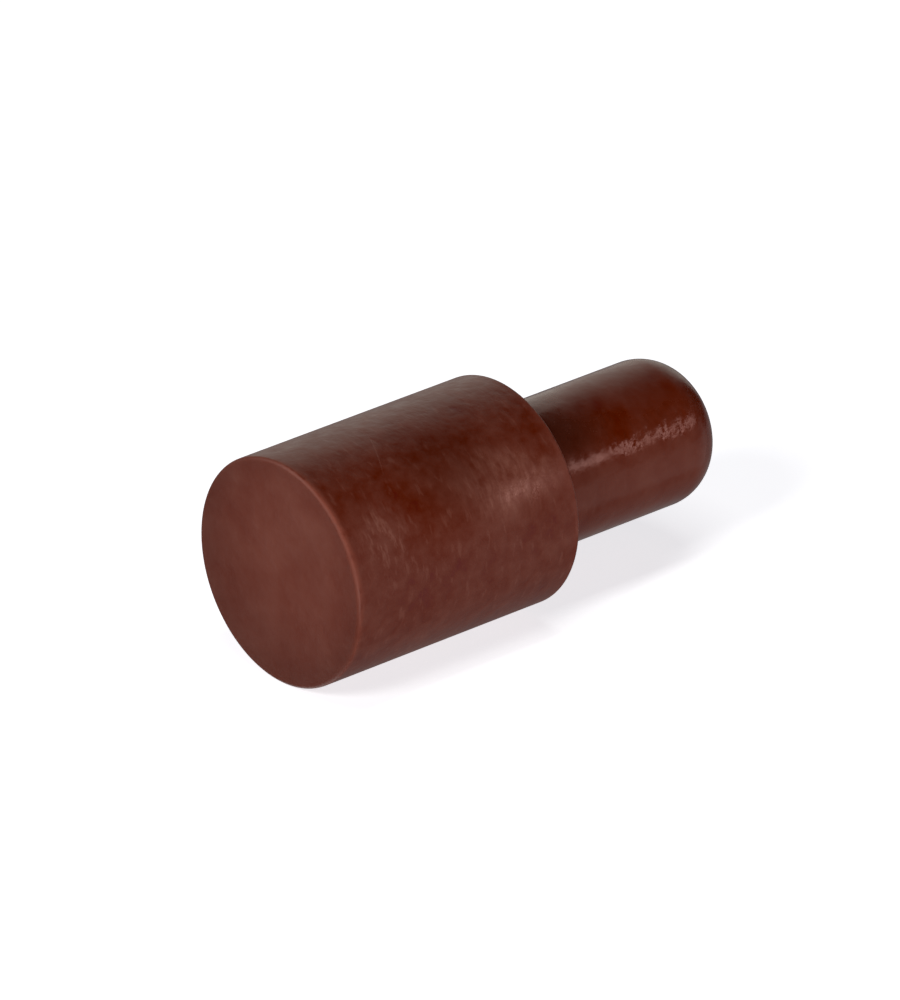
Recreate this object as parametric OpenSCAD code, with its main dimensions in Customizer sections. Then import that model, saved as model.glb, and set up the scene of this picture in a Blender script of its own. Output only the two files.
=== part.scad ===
// Shelf support pin, moulded in one piece. The thin peg pushes into a hole drilled in a cabinet's
// side until the shoulder meets the panel, and the shelf lies on the thick head.
//
// The pin stands on its head: z = 0 is the head's end face, +Z runs along the pin's axis to the
// tip of the peg, and the origin is the centre of the end face. Everything is turned from one half
// section, whose rounds are true arcs.

/* [Head] */
// Diameter of the head, which the shelf lies on
head_d = 7.8; // [7:0.1:12]
// Length of the head, from its end face to its shoulder
head_len = 9.5; // [3:0.1:20]
// Radius that breaks the edge of the head's end face
end_edge_r = 0.12; // [0.05:0.01:0.4]
// Radius that breaks the edge of the head's shoulder
shoulder_edge_r = 0.12; // [0.05:0.01:0.4]

/* [Peg] */
// Diameter of the peg, the drilled hole's own size
peg_d = 5; // [4.4:0.1:6]
// Length of the peg, from the shoulder to its tip
peg_len = 8; // [3:0.1:16]
// Radius that leads the tip of the peg into the hole
tip_r = 1.6; // [0.2:0.1:2.1]

/* [Hidden] */

head_r = head_d / 2;
peg_r = peg_d / 2;
pin_len = head_len + peg_len;

// How far a cut runs past the outline that it trims
overcut = 0.5;
// Sides of a full turn, and of a full circle in the section
turn_sides = 128;
arc_sides = 96;

// What rounding takes off an outer corner at the origin, where the solid lies below and to the left
module corner_waste(radius) {
    translate([-radius, -radius])
        difference() {
            square(radius + overcut);
            circle(r = radius, $fn = arc_sides);
        }
}

// Half section with the pin's axis along Y: the head, the peg on it, and their three outer edges
module half_section() {
    difference() {
        union() {
            square([head_r, head_len]);
            square([peg_r, pin_len]);
        }
        translate([head_r, 0])
            mirror([0, 1, 0])
                corner_waste(end_edge_r);
        translate([head_r, head_len])
            corner_waste(shoulder_edge_r);
        translate([peg_r, pin_len])
            corner_waste(tip_r);
    }
}

// The whole pin: the half section turned about its axis
module pin() {
    color("#5a271d")
        rotate_extrude($fn = turn_sides)
            half_section();
}

pin();
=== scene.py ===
import math

import bmesh
import bpy
from mathutils import Matrix, Vector


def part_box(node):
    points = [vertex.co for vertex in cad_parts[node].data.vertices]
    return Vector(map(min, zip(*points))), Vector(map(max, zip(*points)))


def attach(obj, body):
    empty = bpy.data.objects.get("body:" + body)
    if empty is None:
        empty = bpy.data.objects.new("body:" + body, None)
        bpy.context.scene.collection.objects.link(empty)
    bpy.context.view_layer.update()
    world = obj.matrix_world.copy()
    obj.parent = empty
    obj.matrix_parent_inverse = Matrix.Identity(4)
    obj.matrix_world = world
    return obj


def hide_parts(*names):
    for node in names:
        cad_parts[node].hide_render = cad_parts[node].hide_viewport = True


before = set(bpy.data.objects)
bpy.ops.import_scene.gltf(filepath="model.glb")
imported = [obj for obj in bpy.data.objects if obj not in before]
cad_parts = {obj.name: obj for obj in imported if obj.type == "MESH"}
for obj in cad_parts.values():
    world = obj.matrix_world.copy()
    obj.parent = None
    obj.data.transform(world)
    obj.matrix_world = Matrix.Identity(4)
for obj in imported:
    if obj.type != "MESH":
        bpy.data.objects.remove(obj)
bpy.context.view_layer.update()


# --- The pin ---------------------------------------------------------------------------------
# A shelf support pin, moulded in one shot of brown ABS: a thick head that the shelf lies on, and
# a thin peg that pushes into a drilled hole. The mould was turned, so the pin is one half section
# spun about its axis, with its three outer edges rounded as the cutter left them.
mm = 0.001
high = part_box("pin")[1]
head_r = high.x
pin_len = high.z
head_len = 9.5 * mm
peg_r = 2.5 * mm
edge_r = 0.12 * mm
tip_r = 1.6 * mm
margin = 0.03 * mm  # a narrow band beside each round, which keeps the shading of the flat flat
steps_in_round = {edge_r: 10, tip_r: 32}
steps_in_turn = 256
touching = 0.0005 * mm
sharpest_smooth = math.radians(50)

half_section = [
    (0, 0), (head_r - edge_r - margin, 0),
    (head_r, 0, edge_r),
    (head_r, edge_r + margin), (head_r, head_len - edge_r - margin),
    (head_r, head_len, edge_r),
    (head_r - edge_r - margin, head_len), (peg_r + margin, head_len),
    (peg_r, head_len), (peg_r, head_len + margin), (peg_r, pin_len - tip_r - margin),
    (peg_r, pin_len, tip_r),
    (peg_r - tip_r - margin, pin_len), (0, pin_len),
]

bm = bmesh.new()
corners = [bm.verts.new((p[0], 0, p[1])) for p in half_section]
for a, b in zip(corners, corners[1:]):
    bm.edges.new((a, b))
for p, corner in zip(half_section, corners):
    if len(p) == 3:  # a corner that is given with the radius of its round
        bmesh.ops.bevel(bm, geom=[corner], offset=p[2], segments=steps_in_round[p[2]],
                        profile=0.5, affect="VERTICES", material=-1)
bmesh.ops.spin(bm, geom=bm.verts[:] + bm.edges[:], cent=(0, 0, 0), axis=(0, 0, 1),
               angle=math.tau, steps=steps_in_turn, use_merge=True, use_duplicate=False)
bmesh.ops.remove_doubles(bm, verts=bm.verts[:], dist=touching)
bmesh.ops.recalc_face_normals(bm, faces=bm.faces[:])
for face in bm.faces:
    face.smooth = True
pin_mesh = bpy.data.meshes.new("moulded_pin")
bm.to_mesh(pin_mesh)
bm.free()
pin_mesh.set_sharp_from_angle(angle=sharpest_smooth)
pin = bpy.data.objects.new("moulded_pin", pin_mesh)
bpy.context.scene.collection.objects.link(pin)


def linear(hex_colour):
    """An sRGB hex colour as the linear RGBA that shader sockets take."""
    parts = [int(hex_colour[i:i + 2], 16) / 255 for i in (1, 3, 5)]
    return [p / 12.92 if p <= 0.04045 else ((p + 0.055) / 1.055) ** 2.4 for p in parts] + [1]


def add(kind, sockets=(), **settings):
    """Adds a node to the tree in hand. A socket takes a value, an output or a node's first one."""
    new = tree.nodes.new("ShaderNode" + kind)
    for name, value in settings.items():
        setattr(new, name, value)
    for name, value in sockets:
        if isinstance(value, bpy.types.Node):
            value = value.outputs[0]
        if isinstance(value, bpy.types.NodeSocket):
            tree.links.new(value, new.inputs[name])
        else:
            new.inputs[name].default_value = value
    return new


# Brown ABS from a turned and spark-eroded mould, then carried loose in a bag with others. The skin
# is satin on the head and glossier on the peg, with faint cutter rings. Rubbing has left short pale
# streaks and pale edges, both partly a painted highlight, handling has left a dry film, and the
# hole has dented the peg. Shade by the peg's root and light and shade on the end face are painted
# in too.
plastic = bpy.data.materials.new("moulded brown ABS")
plastic.use_nodes = True
tree = plastic.node_tree
shader = tree.nodes["Principled BSDF"]
shader.inputs["IOR"].default_value = 1.5
shader.inputs["Specular Tint"].default_value = (1, 0.78, 0.72, 1)

place = add("TexCoord")
in_mm = add("Mapping", [("Vector", place.outputs["Object"]), ("Scale", [1 / mm] * 3)])
height = add("SeparateXYZ", [("Vector", in_mm)]).outputs["Z"]
flattened = add("VectorMath", [(0, in_mm), (1, (1, 1, 0))], operation="MULTIPLY")
radius = add("VectorMath", [(0, flattened)], operation="LENGTH").outputs["Value"]
section = add("CombineXYZ", [("X", radius), ("Y", height)])

# Patterns, each with its real size in millimetres. The spark-eroded grain is 0.03 mm on the real
# mould, too fine to show, so it is drawn four times as coarse.
clouds = add("TexNoise", [("Vector", in_mm), ("Scale", 1 / 1.8), ("Detail", 3)])
mottle = add("TexNoise", [("Vector", in_mm), ("Scale", 1 / 0.45), ("Detail", 3),
                          ("Roughness", 0.6)])
grain = add("TexNoise", [("Vector", in_mm), ("Scale", 1 / 0.12), ("Detail", 2)])
along_cutter = add("Mapping", [("Vector", in_mm), ("Scale", (1 / 4.5, 1 / 4.5, 1 / 0.24))])
rings = add("TexNoise", [("Vector", along_cutter), ("Scale", 1), ("Detail", 2), ("Roughness", 0.6)])
round_head = add("Mapping", [("Vector", in_mm), ("Rotation", (0.14, 0.08, 0)),
                             ("Scale", (1 / 0.8, 1 / 0.8, 1 / 0.28))])
streaks = add("TexNoise", [("Vector", round_head), ("Scale", 1), ("Detail", 3),
                           ("Roughness", 0.65)])
askew = add("Mapping", [("Vector", in_mm), ("Rotation", (0.5, 0.3, 0.2)),
                        ("Scale", (1 / 0.6, 1 / 0.6, 1 / 0.2))])
scuffs = add("TexNoise", [("Vector", askew), ("Scale", 1), ("Detail", 2)])
round_peg = add("Mapping", [("Vector", in_mm), ("Scale", (1 / 0.5, 1 / 0.5, 1 / 0.27))])
dents = add("TexNoise", [("Vector", round_peg), ("Scale", 1), ("Detail", 1.5)])

# Where the surface is peg or end face, from 0 to 1. Speckles and scuffs show in full off these,
# and at a quarter of that on them.
head_wall, peg_wall, shoulder = head_r / mm, peg_r / mm, head_len / mm
on_peg = add("MapRange", [("Value", height), ("From Min", shoulder - 0.05),
                          ("From Max", shoulder + 0.05)])
off_peg = add("MapRange", [("Value", on_peg), ("To Min", 1), ("To Max", 0.25)])
end_face = add("MapRange", [("Value", height), ("From Min", 0.1), ("From Max", 0.02)])
off_face = add("MapRange", [("Value", end_face), ("To Min", 1), ("To Max", 0.25)])


def patch(z, degrees, long, wide, soft, out=head_wall, torn=0.6):
    """A ragged, soft patch of skin, placed by height, by angle about the axis and by radius."""
    turn = math.radians(degrees)
    size = Vector((wide, wide, long))
    centre = Vector((out * math.cos(turn), out * math.sin(turn), z))
    laid = add("Mapping", [("Vector", in_mm), ("Scale", [1 / s for s in size]),
                           ("Location", [-c / s for c, s in zip(centre, size)])])
    away = add("VectorMath", [(0, laid)], operation="LENGTH").outputs["Value"]
    ragged = add("Math", [(0, mottle), (1, torn), (2, away)], operation="MULTIPLY_ADD")
    border = 1 + torn / 2
    return add("MapRange", [("Value", ragged), ("From Min", border + soft),
                            ("From Max", border - soft)], interpolation_type="SMOOTHSTEP")


def cut_across(z0, degrees0, z1, degrees1):
    """Distance from a slanting cut through two points of the head's wall, and from their middle."""
    ends = []
    for z, degrees in ((z0, degrees0), (z1, degrees1)):
        turn = math.radians(degrees)
        ends.append(Vector((head_wall * math.cos(turn), head_wall * math.sin(turn), z)))
    middle, half = (ends[0] + ends[1]) / 2, (ends[1] - ends[0]).length / 2
    across = (ends[1] - ends[0]).cross(Vector((middle.x, middle.y, 0))).normalized()
    moved = add("VectorMath", [(0, in_mm), (1, middle)], operation="SUBTRACT")
    offset = add("VectorMath", [(0, moved), (1, across)], operation="DOT_PRODUCT").outputs["Value"]
    away = add("VectorMath", [(0, moved)], operation="LENGTH").outputs["Value"]
    return offset, away, half


def scratch(z0, degrees0, z1, degrees1, width=0.02):
    """A fine scratch on the head's wall between two points, each placed by height and by angle."""
    offset, away, half = cut_across(z0, degrees0, z1, degrees1)
    line = add("Math", [(0, offset), (1, 0), (2, width)], operation="COMPARE")
    kept = add("MapRange", [("Value", away), ("From Min", half * 1.05), ("From Max", half * 0.6)])
    return add("Math", [(0, line), (1, kept)], operation="MULTIPLY")


# The head's edges are pale in a ragged, blotchy line, partly worn and partly a painted highlight,
# brightest on one side of the end face. The rear edge is half as pale. Each line is the skin that
# lies near one point of the section, given by its radius and height.
# Painted highlight: this side of the front edge is made palest where it catches the light.
edge_wear_and_highlight_side = patch(0, 2, 2.1, 2.1, 0.9)
front_edge = (head_wall + 0.05, 0.08, 0)
rear_edge = (head_wall + 0.09, shoulder - 0.14, 0)
edges = []
for outside, wear_and_highlight in ((front_edge, 1), (rear_edge, 0.5)):
    to_edge = add("VectorMath", [(0, section), (1, outside)], operation="DISTANCE").outputs["Value"]
    to_edge = add("Math", [(0, mottle), (1, 0.4), (2, to_edge)], operation="MULTIPLY_ADD")
    edges.append(add("MapRange", [("Value", to_edge), ("From Min", 0.44), ("From Max", 0.24),
                                  ("To Max", wear_and_highlight)], interpolation_type="SMOOTHSTEP"))
edge = add("Math", [(0, edges[0]), (1, edges[1])], operation="MAXIMUM")
blotchy = add("MapRange", [("Value", mottle), ("From Min", 0.38), ("From Max", 0.62),
                           ("To Min", 0.3), ("To Max", 0.9)])
one_sided = add("MapRange", [("Value", edge_wear_and_highlight_side), ("To Min", 0.45), ("To Max", 0.95)])
for wear_and_highlight in (blotchy, one_sided):
    edge = add("Math", [(0, edge), (1, wear_and_highlight)], operation="MULTIPLY")

# On the head: a rubbed patch that stops at a slanting line under the shoulder and a knocked one
# near the end face, both broken into short streaks that are partly rub marks and partly a painted
# highlight, a duller one between them, a dark cloud, scuffs and scratches.
# Partly rub marks and partly a painted highlight, along the line where the lamps reflect.
handled_and_highlit = patch(7.0, 9, 1.75, 1.1, 0.6)
to_line = cut_across(6.1, -12.5, 8.0, 2.5)[0]
below_line = add("MapRange", [("Value", to_line), ("From Min", -0.50), ("From Max", -0.10)])
handled_and_highlit = add("Math", [(0, handled_and_highlit), (1, below_line)], operation="MULTIPLY")
dense = add("MapRange", [("Value", streaks), ("From Min", 0.40), ("From Max", 0.64),
                         ("To Min", 0.35)])
handled_and_highlit = add("Math", [(0, handled_and_highlit), (1, dense)], operation="MULTIPLY")
# Also partly a painted highlight, lower on the same line of reflection.
knocked_and_highlit = patch(1.6, 16, 0.85, 1.0, 0.7)
sparse = add("MapRange", [("Value", streaks), ("From Min", 0.50), ("From Max", 0.65),
                          ("To Max", 0.75)])
rubbed_and_highlit = add("Math", [(0, knocked_and_highlit), (1, sparse), (2, handled_and_highlit)], operation="MULTIPLY_ADD")
matte = patch(3.4, 18, 2.6, 1.45, 0.6)
dark_cloud = patch(5.1, -8, 1.6, 1.4, 0.8)
scuffed = add("MapRange", [("Value", scuffs), ("From Min", 0.60), ("From Max", 0.72)])
scuffed = add("Math", [(0, scuffed), (1, off_peg)], operation="MULTIPLY")
scuffed = add("Math", [(0, scuffed), (1, off_face)], operation="MULTIPLY")
scratches = scratch(3.6, -42, 2.7, -13.5)
for ends in ((6.0, 96, 7.4, 84), (2.2, 150, 4.9, 171), (7.9, 228, 6.1, 247)):
    scratches = add("Math", [(0, scratches), (1, scratch(*ends))], operation="MAXIMUM")

# On the peg: a painted shadow by the shoulder, where the head shades the peg, skin dulled by the
# hole, and two dented stretches.
# Painted shadow: the peg's root is made darker where the head shades it.
painted_shoulder_shadow = patch(10.5, -9, 1.8, 0.9, 0.6, out=peg_wall, torn=0.2)
dulled = patch(14.2, -27, 2.4, 1.5, 0.6, out=peg_wall, torn=0.2)
dented = patch(13.0, 7, 0.9, 1.0, 0.5, out=peg_wall, torn=0.2)
dented_tip = patch(15.1, 11, 1.1, 0.7, 0.5, out=peg_wall, torn=0.2)
dented = add("Math", [(0, dented), (1, dented_tip)], operation="ADD", use_clamp=True)

# A dry film from handling, which takes the shine off one side of the head, the pale edges and one
# side of the peg's root.
filmed = patch(4.0, 5, 1.9, 1.5, 0.7)
filmed_root = patch(10.0, -42, 1.3, 1.2, 0.6, out=peg_wall, torn=0.2)
filmed = add("Math", [(0, filmed_root), (1, 0.6), (2, filmed)], operation="MULTIPLY_ADD")
filmed = add("Math", [(0, edge), (1, 0.6), (2, filmed)], operation="MULTIPLY_ADD")

# Colour: the brown, paler where it is scuffed or scratched, paler where it is rubbed and where a
# highlight is painted, darker in the painted shadow by the shoulder. On the end face a painted pool
# of light lies beside the middle, with painted shade away from it that deepens towards the rim.
uneven = add("MapRange", [("Value", clouds), ("From Min", 0.3), ("From Max", 0.7),
                          ("To Min", -0.06), ("To Max", 0.06)])
# Painted light and shade on the end face: paler round this spot, darker away from it.
lit_spot_on_face = (1.4, -0.25, 0)
to_lit_spot = add("VectorMath", [(0, in_mm), (1, lit_spot_on_face)], operation="DISTANCE").outputs["Value"]
painted_light_on_face = add("MapRange", [("Value", to_lit_spot), ("From Min", 4.5), ("From Max", 0.5)],
              interpolation_type="SMOOTHSTEP")
painted_light_on_face = add("Math", [(0, painted_light_on_face), (1, end_face)], operation="MULTIPLY")
painted_shade_on_face = add("Math", [(0, end_face), (1, painted_light_on_face)], operation="SUBTRACT")
painted_shade_on_face = add("Math", [(0, painted_shade_on_face), (1, painted_shade_on_face)], operation="MULTIPLY")
# How deep the painted shade on the end face is, deeper towards the rim.
painted_face_shade_depth = add("MapRange", [("Value", radius), ("From Min", 2.9), ("From Max", 3.6),
                                 ("To Min", 0.24), ("To Max", 0.34)])
speckled = add("MapRange", [("Value", mottle), ("From Min", 0.3), ("From Max", 0.7),
                            ("To Min", -0.042), ("To Max", 0.042)])
speckled = add("Math", [(0, speckled), (1, off_peg)], operation="MULTIPLY")
speckled = add("Math", [(0, speckled), (1, off_face)], operation="MULTIPLY")
pale = add("Math", [(0, uneven), (1, speckled)], operation="ADD")
for mark, paler in ((painted_light_on_face, 0.05), (rubbed_and_highlit, 0.35), (scuffed, 0.10), (scratches, 0.10)):
    pale = add("Math", [(0, mark), (1, paler), (2, pale)], operation="MULTIPLY_ADD")
dark = add("Math", [(0, dark_cloud), (1, 0.25)], operation="MULTIPLY")
for mark, darker in ((painted_shoulder_shadow, 0.42), (painted_shade_on_face, painted_face_shade_depth)):
    dark = add("Math", [(0, mark), (1, darker), (2, dark)], operation="MULTIPLY_ADD")
skin = add("Mix", [("Factor", edge), (6, linear("#592010")), (7, linear("#804233"))],
           data_type="RGBA")
# The pale colour carries wear, the painted highlights and the painted light on the end face.
worn_and_lit_skin = add("Mix", [("Factor", pale), (6, skin.outputs[2]), (7, linear("#9a6a5c"))],
                data_type="RGBA", clamp_factor=False)
brown = add("Mix", [("Factor", dark), (6, worn_and_lit_skin.outputs[2]), (7, linear("#2c130b"))],
            data_type="RGBA")
tree.links.new(brown.outputs[2], shader.inputs["Base Color"])

# Gloss: satin on the head, duller on its end face, edges and matte patch, shinier where it is
# rubbed, and glossier on the peg apart from where the hole has dulled it. The film reflects less.
rough = add("MapRange", [("Value", on_peg), ("To Min", 0.40), ("To Max", 0.21)])
for mark, duller in ((end_face, 0.10), (edge, 0.35), (matte, 0.30), (rubbed_and_highlit, -0.19)):
    rough = add("Math", [(0, mark), (1, duller), (2, rough)], operation="MULTIPLY_ADD")
duller = add("MapRange", [("Value", dented), ("To Min", 0.20), ("To Max", 0)])
rough = add("Math", [(0, dulled), (1, duller), (2, rough)], operation="MULTIPLY_ADD")
patchy = add("MapRange", [("Value", mottle), ("From Min", 0.3), ("From Max", 0.7),
                          ("To Min", -0.06), ("To Max", 0.06)])
rough = add("Math", [(0, patchy), (1, off_face), (2, rough)], operation="MULTIPLY_ADD")
tree.links.new(rough.outputs[0], shader.inputs["Roughness"])
reflecting = add("MapRange", [("Value", filmed), ("To Min", 0.5), ("To Max", 0.1)])
tree.links.new(reflecting.outputs[0], shader.inputs["Specular IOR Level"])

# Relief, in millimetres: waves, grain and scuffs all over, cutter rings and bumps that are finer on
# the face and the peg, and the dents.
rings, bumps, dents = [add("Math", [(0, noise), (1, 0.5)], operation="SUBTRACT")
                       for noise in (rings, mottle, dents)]
ring_depth = add("MapRange", [("Value", on_peg), ("To Min", 0.004), ("To Max", 0.001)])
dent_depth = add("MapRange", [("Value", dented), ("To Min", 0.0015), ("To Max", 0.032)])
smoother = add("Math", [(0, end_face), (1, on_peg)], operation="MAXIMUM")
bump_depth = add("MapRange", [("Value", smoother), ("To Min", 0.019), ("To Max", 0.008)])
bump_depth = add("Math", [(0, dented), (1, 0.012), (2, bump_depth)], operation="MULTIPLY_ADD")
relief = add("Math", [(0, clouds), (1, 0.04)], operation="MULTIPLY")
for form, depth in ((grain, 0.0016), (rings, ring_depth), (bumps, bump_depth), (dents, dent_depth),
                    (scuffed, -0.0015), (scratches, -0.0025)):
    relief = add("Math", [(0, form), (1, depth), (2, relief)], operation="MULTIPLY_ADD")
bump = add("Bump", [("Height", relief), ("Distance", mm), ("Strength", 1.0)])
tree.links.new(bump.outputs[0], shader.inputs["Normal"])

pin_mesh.materials.append(plastic)
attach(pin, "root")
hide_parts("pin")


# --- Floor and table -------------------------------------------------------------------------
# The pin stands on its head on a white floor. The camera looks at it from below that floor, as at
# a pin that lies on its side, so a white table touches it along that side. Each sheet shows only
# from its upper side, and the table only through the floor, so other views have the floor alone.
up = Vector((1, -1, 0)).normalized()  # out of the table
aside = Vector((1, 1, 0)).normalized()
along = Vector((0, 0, 1))  # along the pin, from its head to its tip
gap_under_pin = 0.003 * head_r
floor_side = 2.0
table_width, table_length = 120 * mm, 80 * mm
middle_of_table = table_length / 2 * along - (head_r + gap_under_pin) * up


def white_sheet(name, middle, across, away, width, length):
    """A flat sheet that faces the pin and that only the camera sees."""
    bm = bmesh.new()
    bmesh.ops.create_grid(bm, x_segments=1, y_segments=1, size=0.5)
    bmesh.ops.scale(bm, vec=(width, length, 1), verts=bm.verts[:])
    turn = Matrix((across, away, across.cross(away))).transposed().to_4x4()
    bmesh.ops.transform(bm, matrix=Matrix.Translation(middle) @ turn, verts=bm.verts[:])
    mesh = bpy.data.meshes.new(name)
    bm.to_mesh(mesh)
    bm.free()
    made = bpy.data.objects.new(name, mesh)
    bpy.context.scene.collection.objects.link(made)
    for ray in ("diffuse", "glossy", "transmission", "volume_scatter", "shadow"):
        setattr(made, "visible_" + ray, False)
    return made


floor = white_sheet("floor", Vector((0, 0, 0)), Vector((1, 0, 0)), Vector((0, 1, 0)),
                    floor_side, floor_side)
table = white_sheet("table", middle_of_table, aside, along, table_width, table_length)

# Matt white paper. Part of its brightness is its own glow, which stands in for the lit room and
# keeps its shadows pale.
for sheet, seen_through, glow in ((floor, 0, 0.52), (table, 1, 0.785)):
    paper = bpy.data.materials.new("matt white paper of the " + sheet.name)
    paper.use_nodes = True
    tree = paper.node_tree
    tree.nodes.remove(tree.nodes["Principled BSDF"])
    underside = add("NewGeometry").outputs["Backfacing"]
    sheets_passed = add("LightPath").outputs["Transparent Depth"]
    hidden = add("Math", [(0, sheets_passed), (1, seen_through - 0.5)], operation="LESS_THAN")
    hidden = add("Math", [(0, hidden), (1, underside)], operation="MAXIMUM")
    matt = add("BsdfDiffuse", [("Color", (0.8, 0.8, 0.8, 1))])
    glowing = add("Emission", [("Color", (0.967, 0.966, 1, 1)), ("Strength", glow)])
    lit_paper = add("AddShader", [(0, matt), (1, glowing)])
    shown = add("MixShader", [(0, hidden), (1, lit_paper), (2, add("BsdfTransparent"))])
    tree.links.new(shown.outputs[0], tree.nodes["Material Output"].inputs["Surface"])
    sheet.data.materials.append(paper)


# --- Light -----------------------------------------------------------------------------------
# A white room that only the camera sees, and soft boxes round the pin. The papers have lamps of
# their own, so that the shadows on them are soft and pale.
room = bpy.data.worlds.new("white room")
bpy.context.scene.world = room
room.use_nodes = True
tree = room.node_tree
background = tree.nodes["Background"]
background.inputs["Color"].default_value = (1, 1, 1, 1)
seen = add("LightPath").outputs["Is Camera Ray"]
strength = add("Math", [(0, seen), (1, 1.1)], operation="MULTIPLY")
tree.links.new(strength.outputs[0], background.inputs["Strength"])

middle_of_pin = Vector((0, 0, 8 * mm))
lit_by = {}
for lit in (pin, floor, table):
    lit_by[lit] = bpy.data.collections.new("lamps of the " + lit.name)
    lit_by[lit].objects.link(lit)


def soft_box(name, towards, distance, width, height, brightness, lights_up=pin, colour=(1, 1, 1)):
    """A soft box that faces the pin. Towards is (up, aside, along); brightness is its radiance."""
    light = bpy.data.lights.new(name, "AREA")
    light.shape = "RECTANGLE"
    light.size, light.size_y = width, height
    light.energy = brightness * math.pi * width * height
    light.color = colour
    box = bpy.data.objects.new(name, light)
    bpy.context.scene.collection.objects.link(box)
    direction = (towards[0] * up + towards[1] * aside + towards[2] * along).normalized()
    upright = up if abs(direction.dot(up)) < 0.95 else along
    across = upright.cross(direction).normalized()
    turn = Matrix((across, direction.cross(across), direction)).transposed().to_4x4()
    box.matrix_world = Matrix.Translation(middle_of_pin + distance * direction) @ turn
    box.light_linking.receiver_collection = lit_by[lights_up]
    return box


soft_box("table_key", (1, 0.10, -0.07), 0.30, 0.06, 0.22, 5.6, lights_up=table)
soft_box("table_low", (1, 0.33, -1.35), 0.30, 0.07, 0.09, 19.0, lights_up=table)

soft_box("left", (0.30, 0.35, -0.89), 0.30, 0.12, 0.12, 8.0)
soft_box("left_high", (0.70, -0.30, -0.65), 0.30, 0.15, 0.12, 7.4)
soft_box("left_behind", (0.25, -0.60, -0.76), 0.30, 0.15, 0.12, 3.8)
soft_box("right", (0.0, 0.95, -0.31), 0.30, 0.12, 0.22, 7.5)
soft_box("strip", (0.31, 0.74, 0.60), 0.30, 0.16, 0.03, 4.0, colour=(1, 0.70, 0.66))
soft_box("back_wall", (0.30, -0.80, 0.60), 0.30, 0.40, 0.25, 0.78, colour=(1, 0.98, 0.89))
soft_box("bounce", (-1, 0, 0), 0.05, 0.80, 0.80, 0.23)
soft_box("apron", (-0.25, 0.77, 0.60), 0.40, 0.60, 0.34, 0.24)
soft_box("behind", (-0.85, -0.45, -0.05), 0.30, 0.20, 0.20, 2.2)

# The lamp over the tip only lights the skin, because its reflection would show on the tip's round.
over_tip = soft_box("over_tip", (0, 0, 1), 0.30, 0.20, 0.20, 2.5)
over_tip.visible_glossy = False

sky = bpy.data.lights.new("floor_sky", "SUN")
sky.energy = 2.2
sky.angle = math.radians(80)
floor_sky = bpy.data.objects.new("floor_sky", sky)
bpy.context.scene.collection.objects.link(floor_sky)
floor_sky.light_linking.receiver_collection = lit_by[floor]


# --- Camera ----------------------------------------------------------------------------------
# A long lens close to the pin, which sees its head on the left and nearer, and its tip on the
# right. The picture's right and down, and where the camera stands, are in up, aside and along.
camera = bpy.data.cameras.new("camera")
camera.lens = 438.2
camera.sensor_width = 36
camera.clip_start = 0.01
viewer = bpy.data.objects.new("camera", camera)
bpy.context.scene.collection.objects.link(viewer)
right = 0.6632 * aside + 0.7485 * along
down = -0.9030 * up + 0.3216 * aside - 0.2849 * along
stand = 0.1697 * up + 0.2665 * aside - 0.2288 * along
turn = Matrix((right, -down, right.cross(-down))).transposed().to_4x4()
viewer.matrix_world = Matrix.Translation(stand) @ turn
bpy.context.scene.camera = viewer
bpy.context.scene.view_settings.view_transform = "Standard"
